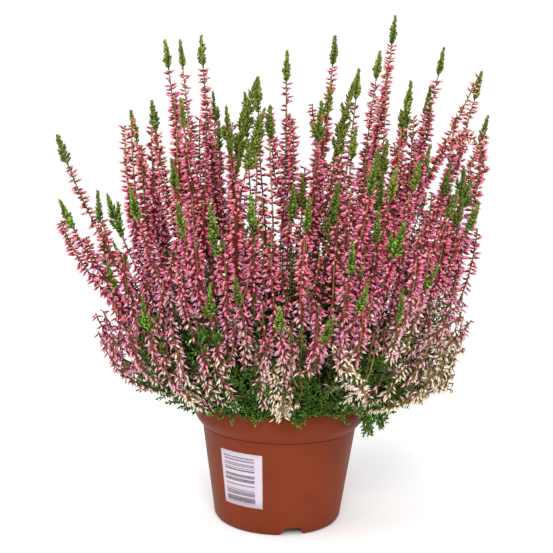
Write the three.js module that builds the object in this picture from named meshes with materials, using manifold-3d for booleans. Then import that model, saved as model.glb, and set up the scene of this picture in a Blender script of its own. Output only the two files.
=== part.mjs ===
// Potted heather: a bud-flowering Calluna in a 10.5 cm plastic nursery pot.
// Units are millimetres, +Z is up, and the origin is the centre of the pot's foot on the ground.
// Seen from the front, the viewer looks along +Y with +X to the right.
import * as THREE from 'three';
import { mergeVertices } from 'three/addons/utils/BufferGeometryUtils.js';
import Module from 'manifold-3d';

const wasm = await Module();
wasm.setup();

// ---- Driving dimensions ----

// Pot: a tapered wall under a deeper, rounded rim band
const RIM_RADIUS = 52.5;
const POT_HEIGHT = 76;
const BAND_HEIGHT = 17;
const BAND_ROUND = 8;
const WALL_TOP_RADIUS = 47.6;
const WALL_FOOT_RADIUS = 39;
const WALL_THICKNESS = 1.4;
const LIP_ROUND = 0.9;
const FOOT_ROUND = 2.4;
const FOOT_RING_WIDTH = 5;
const FLOOR_UNDERSIDE = 5.5;
const FLOOR_THICKNESS = 1.8;
const POT_SEGMENTS = 30;

// Notches that let water out under the foot ring, and the drain holes of the floor
const NOTCH_COUNT = 3;
const NOTCH_FIRST_ANGLE = -76.5;
const NOTCH_HEIGHT = 5;
const NOTCH_FOOT_WIDTH = 15.5;
const NOTCH_TOP_WIDTH = 9.5;
const DRAIN_COUNT = 6;
const DRAIN_RADIUS = 3.5;
const DRAIN_CIRCLE = 24;
const DRAIN_SIDES = 6;

// Soil
const SOIL_LEVEL = 68;
const SOIL_DOME = 1.5;
const CLEARANCE = 0.3;

// Stems: every branch and leafy bunch has one woody stem, which stands in a hole in the soil
const STEM_SIDES = 5;
const STEM_RADIUS = 1.9;
const STEM_DEPTH = 16;
const STEM_ABOVE_SOIL = 9;
const FORK_STEP = 0.9;
const HOLE_SIDES = 5;
const ROOT_SHARE = 0.26;

// Twigs: slim three-sided cores that bend outward first and then up
const TWIG_SIDES = 3;
const TWIG_RADIUS = 0.9;
const BEND_REACH = 0.7;
const BEND_RISE = 0.4;
const LEAST_RISE = 48;

// Flowering part of a spray: how far its points stand out, at the bottom, midway and at the top
const FLOWER_LENGTH = 116;
const FLOWERING_SHARE = 0.64;
const FLOWER_PITCH = 15;
const FLOWER_CORE = 1.7;
const FLOWER_TAPER = 0.7;
const FLOWER_REACH = 7.2;
const REACH_AT_BOTTOM = 0.8;
const REACH_AT_TOP = 0.5;
const REACH_SWELL = 0.28;
const FLOWER_LIFT = 6;

// Green leafy shoot tip that ends every spray taller than GREEN_ABOVE
const GREEN_ABOVE = 138;
const TIP_LENGTH = 20;
const TIP_LAYERS = 2;
const TIP_CORE = 1.5;
const TIP_CORE_END = 0.45;
const TIP_REACH = 3;
const TIP_REACH_END = 1.8;
const TIP_LIFT = 4;

// Leafy bunches that lie over the rim
const BUNCH_COUNT = 6;
const BUNCH_ROOT_RADIUS = 41;
const BUNCH_FIRST_ANGLE = -140;
const BUNCH_TWIGS = 5;
const BUNCH_FAN = 12;
const BEND_FAN = 9.6;
const BUNCH_BEND = [47, 83.5];
const BUNCH_END = [65, 79];
const BUNCH_STAGGER = 4;
const HANGING_BUNCH = 2;
const HANGING_BEND = [56, 96];
const HANGING_END = [66, 64];
const BARE_SHARE = 0.25;
const LEAF_LAYERS = 2;
const LEAF_CORE = 1.2;
const LEAF_CORE_END = 0.6;
const LEAF_REACH = 4;
const LEAF_REACH_END = 3.2;
const LEAF_LIFT = 3;

// Tips of the flowering sprays as [x, y, height]. The first greenTips of a branch are its leaders:
// their green tips are pieces of their own, and the other tips are part of the branch.
const BRANCHES = {
  left_front: {
    greenTips: 3,
    sprays: [
      [-125, -52, 197], [-84, -64, 204], [-64, -46, 221], [-102, -34, 200],
      [-57, -80, 199], [-92, -46, 99], [-72, -68, 101],
    ],
  },
  left: {
    greenTips: 3,
    sprays: [[-134, -18, 233], [-97, 22, 249], [-81, -2, 254], [-109, -8, 107], [-112, 44, 165]],
  },
  left_tall: {
    greenTips: 3,
    sprays: [[-78, 36, 294], [-71, 62, 297], [-53, 8, 294], [-62, -22, 256], [-47, 34, 263]],
  },
  front_left: {
    greenTips: 2,
    sprays: [[-39, -90, 198], [-19, -66, 203], [-25, -104, 163], [-50, -58, 85]],
  },
  centre: {
    greenTips: 5,
    sprays: [
      [-19, 44, 273], [-26, 12, 261], [-10, -36, 252], [-1, 16, 287], [29, 36, 299],
      [-36, -14, 252], [26, 6, 268], [19, -30, 255],
    ],
  },
  front_centre: {
    greenTips: 3,
    sprays: [
      [4, -60, 208], [12, -84, 203], [-2, -117, 150], [25, -112, 145], [1, -88, 86], [28, -64, 211],
    ],
  },
  centre_right: {
    greenTips: 3,
    sprays: [[43, 16, 277], [58, 40, 291], [40, -16, 241], [52, -36, 230], [60, -6, 235]],
  },
  front_right: {
    greenTips: 3,
    sprays: [[46, -78, 223], [42, -102, 160], [62, -84, 192], [45, -104, 102], [66, -94, 126]],
  },
  right_front: {
    greenTips: 3,
    sprays: [[60, -56, 219], [76, -32, 223], [96, -46, 208], [82, -76, 169], [80, -56, 88]],
  },
  right_tall: {
    greenTips: 3,
    sprays: [[69, 62, 315], [100, 50, 295], [76, 20, 271], [86, -4, 233]],
  },
  right: {
    greenTips: 4,
    sprays: [
      [131, 52, 252], [121, 30, 279], [113, 4, 212], [112, -28, 200],
      [97, -15, 222], [102, -48, 137], [111, -12, 118], [93, -40, 91],
    ],
  },
  back_left: {
    greenTips: 2,
    sprays: [
      [-50, 92, 228], [-92, 74, 205], [-20, 80, 245], [-30, 117, 178], [-74, 108, 150],
      [-84, 72, 96], [-38, 98, 112],
    ],
  },
  back_right: {
    greenTips: 2,
    sprays: [
      [24, 92, 240], [64, 96, 222], [98, 84, 200], [12, 117, 168], [58, 114, 148], [88, 66, 98],
      [34, 98, 106],
    ],
  },
};

// ---- Colours ----

const FINISHES = {
  pot: { color: 0x8a4629, roughness: 0.5, metalness: 0 },
  soil: { color: 0x35271d, roughness: 1, metalness: 0 },
  flower: { color: 0xd4587f, roughness: 0.7, metalness: 0 },
  greenTip: { color: 0x6f8f35, roughness: 0.75, metalness: 0 },
  foliage: { color: 0x47732a, roughness: 0.8, metalness: 0 },
};

const { lerp, degToRad } = THREE.MathUtils;
const UP = new THREE.Vector3(0, 0, 1);

// ---- Solids and booleans ----

function toManifold(geometry) {
  const bare = geometry.clone();
  bare.deleteAttribute('normal');
  bare.deleteAttribute('uv');
  const merged = mergeVertices(bare);
  return new wasm.Manifold(new wasm.Mesh({
    numProp: 3,
    vertProperties: new Float32Array(merged.attributes.position.array),
    triVerts: new Uint32Array(merged.index.array),
  }));
}

function toGeometry(manifold) {
  const mesh = manifold.getMesh();
  const geometry = new THREE.BufferGeometry();
  geometry.setAttribute('position', new THREE.BufferAttribute(mesh.vertProperties, mesh.numProp));
  geometry.setIndex(new THREE.BufferAttribute(mesh.triVerts, 1));
  return geometry;
}

// Joins solids into one body, and keeps only its outer shell, so that no pocket is sealed inside
function fuse(geometries) {
  const joined = geometries.map(toManifold).reduce((sum, next) => sum.add(next));
  const shells = joined.decompose();
  return toGeometry(shells.reduce((outer, next) => (next.volume() > outer.volume() ? next : outer)));
}

function cut(geometry, tools) {
  const whole = toManifold(geometry);
  return toGeometry(tools.map(toManifold).reduce((rest, tool) => rest.subtract(tool), whole));
}

function named(name, geometry, finish) {
  geometry.computeVertexNormals();
  const mesh = new THREE.Mesh(geometry, new THREE.MeshStandardMaterial(FINISHES[finish]));
  mesh.name = name;
  return mesh;
}

function polar(radius, degrees, z) {
  const angle = degToRad(degrees);
  return new THREE.Vector3(radius * Math.cos(angle), radius * Math.sin(angle), z);
}

// A prism of few sides that stands upright from one height to another
function post(x, y, radius, sides, low, high) {
  const prism = new THREE.CylinderGeometry(radius, radius, high - low, sides);
  prism.rotateX(Math.PI / 2);
  prism.translate(x, y, (low + high) / 2);
  return prism;
}

// A solid of revolution about +Z from [radius, height] points
function turned(profile, segments) {
  const lathe = new THREE.LatheGeometry(profile.map(([r, z]) => new THREE.Vector2(r, z)), segments);
  lathe.rotateX(Math.PI / 2);
  return lathe;
}

// ---- Pot ----

const bandFoot = POT_HEIGHT - BAND_HEIGHT;

// Radius of the outside of the pot at a height: a straight taper, then the band's rounded swell
function outerRadius(z) {
  if (z <= bandFoot) {
    return lerp(WALL_FOOT_RADIUS, WALL_TOP_RADIUS, z / bandFoot);
  }
  const swell = Math.min((z - bandFoot) / BAND_ROUND, 1);
  return lerp(WALL_TOP_RADIUS, RIM_RADIUS, Math.sin(swell * Math.PI / 2));
}

function innerRadius(z) {
  return outerRadius(z) - WALL_THICKNESS;
}

const bandLevels = [0, 0.5, 1].map((share) => bandFoot + share * BAND_ROUND);

function potShell() {
  const floorTop = FLOOR_UNDERSIDE + FLOOR_THICKNESS;
  const ringInside = WALL_FOOT_RADIUS - FOOT_RING_WIDTH;
  return turned([
    [0, FLOOR_UNDERSIDE],
    [ringInside, FLOOR_UNDERSIDE],
    [ringInside, 0],
    [WALL_FOOT_RADIUS - FOOT_ROUND, 0],
    [WALL_FOOT_RADIUS - FOOT_ROUND / 3, FOOT_ROUND / 3],
    [outerRadius(FOOT_ROUND), FOOT_ROUND],
    ...bandLevels.map((z) => [outerRadius(z), z]),
    [RIM_RADIUS, POT_HEIGHT - LIP_ROUND],
    [RIM_RADIUS - WALL_THICKNESS / 2, POT_HEIGHT],
    [RIM_RADIUS - WALL_THICKNESS, POT_HEIGHT - LIP_ROUND],
    ...bandLevels.toReversed().map((z) => [innerRadius(z), z]),
    [innerRadius(floorTop), floorTop],
    [0, floorTop],
  ], POT_SEGMENTS);
}

// A wedge across the foot ring, wider at the ground
function notchCutter(degrees) {
  const shape = new THREE.Shape();
  shape.moveTo(-NOTCH_FOOT_WIDTH / 2, -1);
  shape.lineTo(NOTCH_FOOT_WIDTH / 2, -1);
  shape.lineTo(NOTCH_FOOT_WIDTH / 2, 0);
  shape.lineTo(NOTCH_TOP_WIDTH / 2, NOTCH_HEIGHT);
  shape.lineTo(-NOTCH_TOP_WIDTH / 2, NOTCH_HEIGHT);
  shape.lineTo(-NOTCH_FOOT_WIDTH / 2, 0);
  const wedge = new THREE.ExtrudeGeometry(shape, { depth: FOOT_RING_WIDTH * 3, bevelEnabled: false });
  wedge.rotateX(Math.PI / 2);
  wedge.rotateZ(Math.PI / 2);
  wedge.translate(WALL_FOOT_RADIUS - FOOT_RING_WIDTH * 2, 0, 0);
  wedge.rotateZ(degToRad(degrees));
  return wedge;
}

function makePot() {
  const cutters = [];
  for (let i = 0; i < NOTCH_COUNT; i += 1) {
    cutters.push(notchCutter(NOTCH_FIRST_ANGLE + i * 360 / NOTCH_COUNT));
  }
  for (let i = 0; i < DRAIN_COUNT; i += 1) {
    const centre = polar(DRAIN_CIRCLE, i * 360 / DRAIN_COUNT, 0);
    cutters.push(post(centre.x, centre.y, DRAIN_RADIUS, DRAIN_SIDES, 0, SOIL_LEVEL / 2));
  }
  return named('pot', cut(potShell(), cutters), 'pot');
}

// ---- Bristling stems: the sprays, the green tips and the leafy twigs ----

// A twig leaves its fork outward and then turns up, or arches over if it ends low. It lies in one
// upright plane, and side is that plane's level normal.
class TwigCurve extends THREE.QuadraticBezierCurve3 {
  constructor(fork, bend, tip) {
    super(fork, bend, tip);
    this.arcLengthDivisions = 60;
    this.side = new THREE.Vector3().crossVectors(UP, tip.clone().sub(fork)).normalize();
  }
}

// A slim three-sided core along the curve. Each station states how far along it lies, its core
// radius, and how far its faces are drawn out into points and lifted; with no reach they stay flat.
function bristlingStem(curve, stations) {
  const length = curve.getLength();
  const points = [];
  const faces = [];
  const rings = stations.map(({ along, core }, level) => {
    const centre = curve.getPointAt(along / length);
    const forward = curve.getTangentAt(along / length);
    const across = new THREE.Vector3().crossVectors(forward, curve.side);
    const ring = [];
    for (let side = 0; side < TWIG_SIDES; side += 1) {
      const angle = (side + level / 2) * 2 * Math.PI / TWIG_SIDES;
      ring.push(points.length);
      points.push(centre.clone()
        .addScaledVector(curve.side, core * Math.cos(angle))
        .addScaledVector(across, core * Math.sin(angle)));
    }
    return { centre, forward, ring };
  });

  function addFace(a, b, c, station, frame) {
    if (!station.reach) {
      faces.push([a, b, c]);
      return;
    }
    const middle = points[a].clone().add(points[b]).add(points[c]).divideScalar(3);
    const outward = middle.clone().sub(frame.centre).projectOnPlane(frame.forward);
    const growth = station.reach - outward.length();
    const apex = points.length;
    points.push(middle
      .addScaledVector(outward.normalize(), growth)
      .addScaledVector(frame.forward, station.lift));
    faces.push([a, b, apex], [b, c, apex], [c, a, apex]);
  }

  for (let level = 0; level + 1 < rings.length; level += 1) {
    const low = rings[level];
    const high = rings[level + 1];
    for (let side = 0; side < TWIG_SIDES; side += 1) {
      const next = (side + 1) % TWIG_SIDES;
      addFace(low.ring[side], low.ring[next], high.ring[side], stations[level], low);
      addFace(low.ring[next], high.ring[next], high.ring[side], stations[level], low);
    }
  }
  faces.push(rings[0].ring.toReversed());
  faces.push(rings.at(-1).ring);

  return new THREE.BufferGeometry().setFromPoints(points).setIndex(faces.flat());
}

// ---- Flowering branches ----

function forkPoint(root, order) {
  return root.clone().setZ(SOIL_LEVEL + STEM_ABOVE_SOIL - (order + 1) * FORK_STEP);
}

function sprayCurve(fork, [x, y, height]) {
  const tip = new THREE.Vector3(x, y, height);
  const bend = fork.clone().lerp(tip, BEND_REACH);
  bend.z = SOIL_LEVEL + Math.max(BEND_RISE * (height - SOIL_LEVEL), LEAST_RISE);
  return new TwigCurve(fork, bend, tip);
}

function tipStations(from) {
  const stations = [];
  for (let i = 0; i <= TIP_LAYERS; i += 1) {
    const share = i / TIP_LAYERS;
    stations.push({
      along: from + share * (TIP_LENGTH - CLEARANCE),
      core: lerp(TIP_CORE, TIP_CORE_END, share),
      reach: lerp(TIP_REACH, TIP_REACH_END, share),
      lift: TIP_LIFT,
    });
  }
  return stations;
}

// Bare twig, then whorls of flowers that droop at the bottom of the spray and stand up at its top
function sprayStations(length, height, hasOwnTip) {
  const endsGreen = height > GREEN_ABOVE;
  const flowerEnd = length - (endsGreen ? TIP_LENGTH : 0);
  const flowerStart = flowerEnd - Math.min(FLOWER_LENGTH, FLOWERING_SHARE * flowerEnd);
  const layers = Math.round((flowerEnd - flowerStart) / FLOWER_PITCH);
  const stations = [
    { along: 0, core: TWIG_RADIUS },
    { along: flowerStart / 2, core: TWIG_RADIUS },
  ];
  for (let i = 0; i <= layers; i += 1) {
    const share = i / layers;
    const swell = REACH_SWELL * Math.sin(Math.PI * share);
    stations.push({
      along: lerp(flowerStart, flowerEnd, share),
      core: FLOWER_CORE * lerp(1, FLOWER_TAPER, share),
      reach: FLOWER_REACH * (lerp(REACH_AT_BOTTOM, REACH_AT_TOP, share) + swell),
      lift: lerp(-FLOWER_LIFT, FLOWER_LIFT, share),
    });
  }
  if (endsGreen && !hasOwnTip) {
    stations.push(...tipStations(flowerEnd).slice(1));
  }
  return stations;
}

function branchRoot(sprays) {
  const sum = sprays.reduce(([x, y], spray) => [x + spray[0], y + spray[1]], [0, 0]);
  const share = ROOT_SHARE / sprays.length;
  return new THREE.Vector3(sum[0] * share, sum[1] * share, SOIL_LEVEL);
}

function woodyStem(root) {
  return post(
    root.x, root.y, STEM_RADIUS, STEM_SIDES, SOIL_LEVEL - STEM_DEPTH, SOIL_LEVEL + STEM_ABOVE_SOIL,
  );
}

function makeBranch(name, { greenTips, sprays }) {
  const root = branchRoot(sprays);
  const solids = [woodyStem(root)];
  const tips = [];
  sprays.forEach((spray, i) => {
    const curve = sprayCurve(forkPoint(root, i), spray);
    const length = curve.getLength();
    const hasOwnTip = i < greenTips;
    solids.push(bristlingStem(curve, sprayStations(length, spray[2], hasOwnTip)));
    if (hasOwnTip) {
      const stations = tipStations(length - TIP_LENGTH + CLEARANCE);
      tips.push(named(`green_tip_${name}_${i + 1}`, bristlingStem(curve, stations), 'greenTip'));
    }
  });
  return { root, meshes: [named(`branch_${name}`, fuse(solids), 'flower'), ...tips] };
}

// ---- Leafy bunches over the rim ----

function makeBunch(index) {
  const heading = BUNCH_FIRST_ANGLE + index * 360 / BUNCH_COUNT;
  const root = polar(BUNCH_ROOT_RADIUS, heading, SOIL_LEVEL);
  const [bendRadius, bendHeight] = index === HANGING_BUNCH ? HANGING_BEND : BUNCH_BEND;
  const [endRadius, endHeight] = index === HANGING_BUNCH ? HANGING_END : BUNCH_END;
  const solids = [woodyStem(root)];
  for (let i = 0; i < BUNCH_TWIGS; i += 1) {
    const turn = i - (BUNCH_TWIGS - 1) / 2;
    const stagger = (i % 2) * BUNCH_STAGGER;
    const bend = polar(bendRadius, heading + turn * BEND_FAN, bendHeight);
    const tip = polar(endRadius - stagger, heading + turn * BUNCH_FAN, endHeight + stagger);
    const curve = new TwigCurve(forkPoint(root, i), bend, tip);
    const length = curve.getLength();
    const stations = [{ along: 0, core: TWIG_RADIUS }];
    for (let layer = 0; layer <= LEAF_LAYERS; layer += 1) {
      const share = layer / LEAF_LAYERS;
      stations.push({
        along: length * lerp(BARE_SHARE, 1, share),
        core: lerp(LEAF_CORE, LEAF_CORE_END, share),
        reach: lerp(LEAF_REACH, LEAF_REACH_END, share),
        lift: LEAF_LIFT,
      });
    }
    solids.push(bristlingStem(curve, stations));
  }
  return { root, meshes: [named(`leafy_bunch_${index + 1}`, fuse(solids), 'foliage')] };
}

// ---- Soil ----

function makeSoil(roots) {
  const floorTop = FLOOR_UNDERSIDE + FLOOR_THICKNESS + CLEARANCE;
  const body = turned([
    [0, floorTop],
    [innerRadius(floorTop) - CLEARANCE, floorTop],
    [innerRadius(bandFoot) - CLEARANCE, bandFoot],
    [innerRadius(SOIL_LEVEL) - CLEARANCE, SOIL_LEVEL - SOIL_DOME],
    [0, SOIL_LEVEL],
  ], POT_SEGMENTS);
  const holeRadius = (STEM_RADIUS + CLEARANCE) / Math.cos(Math.PI / HOLE_SIDES);
  const holes = roots.map(({ x, y }) => post(
    x, y, holeRadius, HOLE_SIDES, SOIL_LEVEL - STEM_DEPTH - CLEARANCE, POT_HEIGHT,
  ));
  return named('soil', cut(body, holes), 'soil');
}

// ---- Assembly ----

const plant = new THREE.Group();
const clumps = [
  ...Object.entries(BRANCHES).map(([name, branch]) => makeBranch(name, branch)),
  ...Array.from({ length: BUNCH_COUNT }, (_, index) => makeBunch(index)),
];
clumps.forEach(({ meshes }) => plant.add(...meshes));

const heather = new THREE.Group();
heather.name = 'potted_heather';
heather.add(makePot(), makeSoil(clumps.map(({ root }) => root)), plant);

export default heather;
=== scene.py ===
"""Looks of a potted heather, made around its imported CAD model.

Every length is in metres and +Z is up, as in the frame. Each CAD node is made again here, finer, in
its own place and form: the pot with its notches, crumbly soil, flowering sprays with every bud and
bract, scaly green tips, and the leafy shoots that hide the soil and lie over the rim.
"""

import math

import bpy
import numpy as np
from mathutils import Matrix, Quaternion, Vector


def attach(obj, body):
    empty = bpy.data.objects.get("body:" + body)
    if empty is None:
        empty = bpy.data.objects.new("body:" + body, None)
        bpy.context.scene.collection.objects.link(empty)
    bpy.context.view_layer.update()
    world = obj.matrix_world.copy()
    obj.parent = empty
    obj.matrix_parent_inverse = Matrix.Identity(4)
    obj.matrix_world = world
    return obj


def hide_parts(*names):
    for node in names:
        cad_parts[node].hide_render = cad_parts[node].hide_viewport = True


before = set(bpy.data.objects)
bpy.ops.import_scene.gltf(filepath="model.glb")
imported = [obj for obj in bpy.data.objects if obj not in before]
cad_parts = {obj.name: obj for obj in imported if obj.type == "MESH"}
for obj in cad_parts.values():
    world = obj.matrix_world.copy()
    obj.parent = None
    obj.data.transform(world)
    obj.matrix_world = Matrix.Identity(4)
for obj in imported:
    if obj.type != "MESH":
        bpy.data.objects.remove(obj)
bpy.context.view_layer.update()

MM = 0.001
UP = np.array([0.0, 0.0, 1.0])
BODY = "root"

# ---- Pot and soil, as in the CAD model ----

RIM_RADIUS = 52.5 * MM
POT_HEIGHT = 76 * MM
BAND_FOOT = 59 * MM
BAND_ROUND = 8 * MM
WALL_TOP_RADIUS = 47.6 * MM
WALL_FOOT_RADIUS = 39 * MM
WALL_THICKNESS = 1.4 * MM
LIP_ROUND = 0.7 * MM
FOOT_ROUND = 2.4 * MM
FOOT_RING_WIDTH = 5 * MM
FLOOR_UNDERSIDE = 5.5 * MM
FLOOR_TOP = 7.3 * MM
NOTCH_COUNT = 3
NOTCH_FIRST_ANGLE = -76.5
NOTCH_HEIGHT = 5 * MM
NOTCH_FOOT_WIDTH = 15.5 * MM
NOTCH_TOP_WIDTH = 9.5 * MM
DRAIN_COUNT = 6
DRAIN_RADIUS = 3.5 * MM
DRAIN_CIRCLE = 24 * MM
SOIL_LEVEL = 68 * MM
SOIL_EDGE = 66.5 * MM
CLEARANCE = 0.3 * MM

# ---- Branches, as in the CAD model ----

STEM_RADIUS = 1.9 * MM
STEM_DEPTH = 16 * MM
STEM_ABOVE_SOIL = 9 * MM
FORK_STEP = 0.9 * MM
ROOT_SHARE = 0.26
BEND_REACH = 0.7
BEND_RISE = 0.4
LEAST_RISE = 48 * MM
FLOWER_LENGTH = 116 * MM
FLOWERING_SHARE = 0.64
FLOWER_REACH = 7.2 * MM
REACH_AT_BOTTOM = 0.8
REACH_AT_TOP = 0.5
REACH_SWELL = 0.28
GREEN_ABOVE = 138 * MM
TIP_LENGTH = 20 * MM

# The flowering sprays of each branch by their tips, as [x, y, height] in millimetres. The first ones, as
# many as the branch's number says, end in a green tip that is a node of its own. After the sprays of the CAD
# model come extra ones, which fill the plant between them. Those run out low and then rise upright, unless
# the reach and rise of their bend, as shares, and its shift to the right follow the tip.
BRANCHES = {
    "left_front": (3, [
        [-125, -52, 197], [-84, -64, 204], [-64, -46, 221], [-102, -34, 200], [-57, -80, 199],
        [-92, -46, 99], [-72, -68, 101],
    ], [
        [-108, -30, 202], [-99, -45, 162], [-88, -62, 170], [-95, -50, 141], [-101, -36, 120],
        [-83, -72, 132], [-75, -80, 148], [-69, -86, 127], [-81, -62, 114, 0.95, 0.35], [-62, -88, 119],
        [-58, -78, 108, 0.95, 0.4], [-125, -50, 186, 0.87, 0.5], [-103, -36, 114], [-98, -42, 108],
        [-113, -40, 176, 0.87, 0.5], [-105, -30, 132, 0.9, 0.4], [-109, -32, 131, 0.9, 0.35],
        [-107, -36, 121, 0.9, 0.35], [-104, -38, 186, 0.88, 0.4],
    ]),
    "left": (3, [
        [-134, -18, 233], [-97, 22, 249], [-81, -2, 254], [-109, -8, 107], [-112, 44, 165],
    ], [
        [-95, 10, 242], [-106, -20, 176], [-88, 6, 228], [-107, 20, 140], [-100, 30, 153], [-101, -14, 110],
        [-99, 10, 240], [-84, 20, 240],
    ]),
    "left_tall": (3, [
        [-78, 36, 294], [-71, 62, 297], [-53, 8, 294], [-62, -22, 256], [-47, 34, 263],
    ], [
        [-69, 14, 261], [-65, -10, 240], [-60, 6, 233], [-82, 30, 236], [-90, 26, 224], [-54, 20, 245],
    ]),
    "front_left": (2, [
        [-39, -90, 198], [-19, -66, 203], [-25, -104, 163], [-50, -58, 85],
    ], [
        [-50, -74, 204], [-45, -92, 139], [-59, -92, 140], [-38, -98, 159], [-32, -84, 183],
        [-54, -86, 168], [-35, -90, 125], [-41, -78, 108],
    ]),
    "centre": (5, [
        [-19, 44, 273], [-26, 12, 261], [-10, -36, 252], [-1, 16, 287], [29, 36, 299], [-36, -14, 252],
        [26, 6, 268], [19, -30, 255],
    ], [
        [-18, 0, 270, 3.0, 0.41], [-28, -50, 211], [-13, -34, 250, 3.4, 0.4], [4, -5, 245], [2, 40, 251],
        [-34, 25, 244], [-48, -10, 220], [32, -20, 227], [19, -15, 227], [-42, 20, 244], [-13, -55, 203],
        [10, -20, 214],
    ]),
    "front_centre": (3, [
        [4, -60, 208], [12, -84, 203], [-2, -117, 150], [25, -112, 145], [1, -88, 86], [28, -64, 211],
    ], [
        [10, -96, 184], [-11, -86, 149], [18, -100, 149], [4, -84, 135], [24, -95, 129, 0.95, 0.35, 43],
        [-7, -80, 185], [10, -92, 115], [-20, -86, 132], [-2, -66, 78, 1.7, 7, -6],
        [-6, -64, 84, 1.7, 5, -6], [3, -65, 81, 1.7, 6, -6], [-9, -66, 86, 1.7, 4.5, -4],
        [0, -68, 80, 1.6, 6, -4], [30, -94, 117, 0.95, 0.4, 34], [26, -84, 172], [-16, -76, 182],
    ]),
    "centre_right": (3, [
        [43, 16, 277], [58, 40, 291], [40, -16, 241], [52, -36, 230], [60, -6, 235],
    ], [
        [41, 10, 272, 0.25, 0.59], [69, 5, 243], [47, -10, 223], [56, -24, 214], [34, 40, 245],
    ]),
    "front_right": (3, [
        [46, -78, 223], [42, -102, 160], [62, -84, 192], [45, -104, 102], [66, -94, 126],
    ], [
        [35, -66, 209], [35, -88, 182], [32, -104, 165], [41, -96, 151], [48, -90, 135], [57, -84, 126],
        [51, -60, 198],
    ]),
    "right_front": (3, [
        [60, -56, 219], [76, -32, 223], [96, -46, 208], [82, -76, 169], [80, -56, 88],
    ], [
        [69, -45, 206], [69, -84, 174], [62, -92, 158], [81, -62, 125], [67, -72, 115], [59, -56, 189],
        [78, -70, 176], [88, -50, 106], [86, -44, 92], [78, -58, 96], [92, -40, 114],
    ]),
    "right_tall": (3, [
        [69, 62, 315], [100, 50, 295], [76, 20, 271], [86, -4, 233],
    ], [
        [66, 58, 286, 0.6, 0.3], [64, 48, 268], [80, 30, 250], [92, 46, 270, 0.7, 0.3], [74, 28, 253],
        [106, 34, 250],
    ]),
    "right": (4, [
        [131, 52, 252], [121, 30, 279], [113, 4, 212], [112, -28, 200], [97, -15, 222], [102, -48, 137],
        [111, -12, 118], [93, -40, 91],
    ], [
        [116, -6, 184], [100, -30, 155], [110, 10, 170], [99, -36, 126], [91, -44, 103], [111, 0, 138],
        [112, 16, 110], [94, -26, 197], [84, -30, 206], [119, 28, 276, 0.5, 0.5], [119, 8, 234],
        [108, 4, 220], [123, 22, 240], [104, -16, 205], [107, -20, 130], [109, -8, 122], [103, -24, 108],
        [96, -28, 93], [98, -14, 100], [104, -20, 104], [112, -12, 128], [121, 4, 215, 0.85, 1.5],
        [102, -32, 89, 0.9, 0.7], [95, -40, 92, 0.9, 0.9], [104, -24, 91, 0.9, 0.8],
        [104, -26, 98, 0.9, 0.5], [113, -18, 130, 0.93, 0.5], [111, -14, 112, 0.93, 0.6],
        [97, -22, 120, 0.93, 0.4],
    ]),
    "back_left": (2, [
        [-50, 92, 228], [-92, 74, 205], [-20, 80, 245], [-30, 117, 178], [-74, 108, 150], [-84, 72, 96],
        [-38, 98, 112],
    ], [
        [-66, 92, 196], [-36, 100, 204], [-96, 56, 168], [-52, 108, 130], [-60, 88, 108], [-98, 60, 124],
        [-28, 92, 152],
    ]),
    "back_right": (2, [
        [24, 92, 240], [64, 96, 222], [98, 84, 200], [12, 117, 168], [58, 114, 148], [88, 66, 98],
        [34, 98, 106],
    ], [
        [44, 100, 196], [78, 92, 178], [30, 108, 190], [98, 62, 150], [70, 100, 124], [52, 90, 100],
        [100, 58, 112], [12, 96, 132],
    ]),
}

# Sprays by their number in a branch, with the extra ones counted on after those of the CAD model. These have
# a leafy top longer than a green tip, with its length in millimetres, or none at all.
LEAFY_TOPS = {
    "left_front": {3: 28, 4: 22, 7: 21, 18: 0, 25: 0}, "left": {1: 22}, "front_left": {0: 30, 1: 24},
    "centre": {0: 24, 1: 28, 5: 30, 7: 24, 8: 62, 10: 44, 18: 0}, "front_centre": {5: 34},
    "centre_right": {3: 22, 4: 30, 5: 56}, "front_right": {2: 22}, "right_tall": {2: 36, 3: 24, 4: 0},
    "right": {2: 22, 29: 0}, "back_left": {0: 26}, "back_right": {0: 32, 1: 26},
}

# These are cream all over, and those after them have no side shoots, with the spacing of their buds as a
# share of the usual one
CREAM = {"front_centre": (10, 19)}
SPACING = {
    "left_front": {0: 0.75, 18: 0.75}, "left": {0: 1.2}, "centre": {0: 2, 1: 2.5, 2: 3},
    "front_centre": {10: 0.8, 19: 0.8}, "centre_right": {0: 1.5, 1: 0.8}, "right_tall": {0: 0.8, 4: 0.8},
    "back_left": {2: 3},
}

# Leafy pockets between the flowers at the front, as [x, y, height, radius], in millimetres
POCKETS = {
    "left_front": [[-74, -58, 117, 5], [-64, -60, 101, 5]],
    "front_left": [[-41, -80, 129, 6.5], [-22, -78, 105, 7]],
    "front_centre": [[14, -80, 102, 8]],
    "front_right": [[49, -75, 114, 9]],
    "right_front": [[66, -56, 99, 5]],
}

# ---- Leafy bunches over the rim, as in the CAD model ----

BUNCH_COUNT = 6
BUNCH_ROOT_RADIUS = 41 * MM
BUNCH_FIRST_ANGLE = -140
BUNCH_TWIGS = 5
BUNCH_FAN = 12
BEND_FAN = 9.6
BUNCH_BEND = (47 * MM, 83.5 * MM)
BUNCH_END = (65 * MM, 79 * MM)
BUNCH_STAGGER = 4 * MM
HANGING_BUNCH = 2
HANGING_BEND = (56 * MM, 96 * MM)
HANGING_END = (66 * MM, 64 * MM)

# The twigs of the hanging bunch are this much closer together than in the CAD model
HANGING_CLOSER = 0.75

# ---- Buds ----

BUD_PITCH = 1.25 * MM
EXTRA_BUD_PITCH = 1.45 * MM
LOW_BUD_PITCH = 1.1 * MM
LEAST_BUD_PAIRS = 3

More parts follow.
